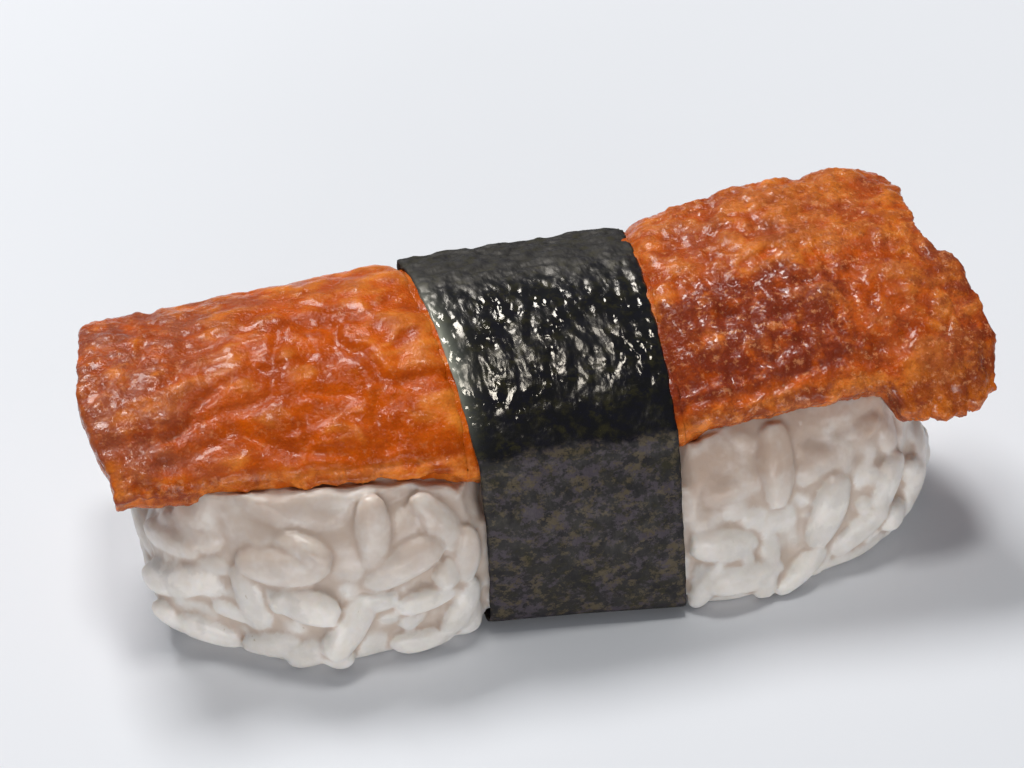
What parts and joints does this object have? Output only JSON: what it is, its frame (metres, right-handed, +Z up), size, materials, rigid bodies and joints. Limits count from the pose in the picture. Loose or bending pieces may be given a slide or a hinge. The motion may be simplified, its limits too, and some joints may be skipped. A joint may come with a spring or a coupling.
{
  "type": "tofu nigiri",
  "caption": "Tofu nigiri: a pressed block of rice grains with a browned tofu slab draped on top and a dark seaweed strip wrapped round the middle.",
  "frame": {"origin": "centre of the bounding box in X and Y, at the level the rice rests on", "axes": "+X runs along the slab toward the end with the hanging flap, +Y toward the slab's back edge, +Z up"},
  "size_m": [0.0826, 0.0358, 0.0257],
  "materials": {
    "tofu": "moist, glazed and finely wrinkled",
    "rice": "moist, slightly translucent",
    "nori": "damp and glossy over the slab, dull and fibrous below"
  },
  "bodies": {
    "root": {"tofu": "tofu", "rice": "rice", "nori": "nori"}
  },
  "joints": []
}
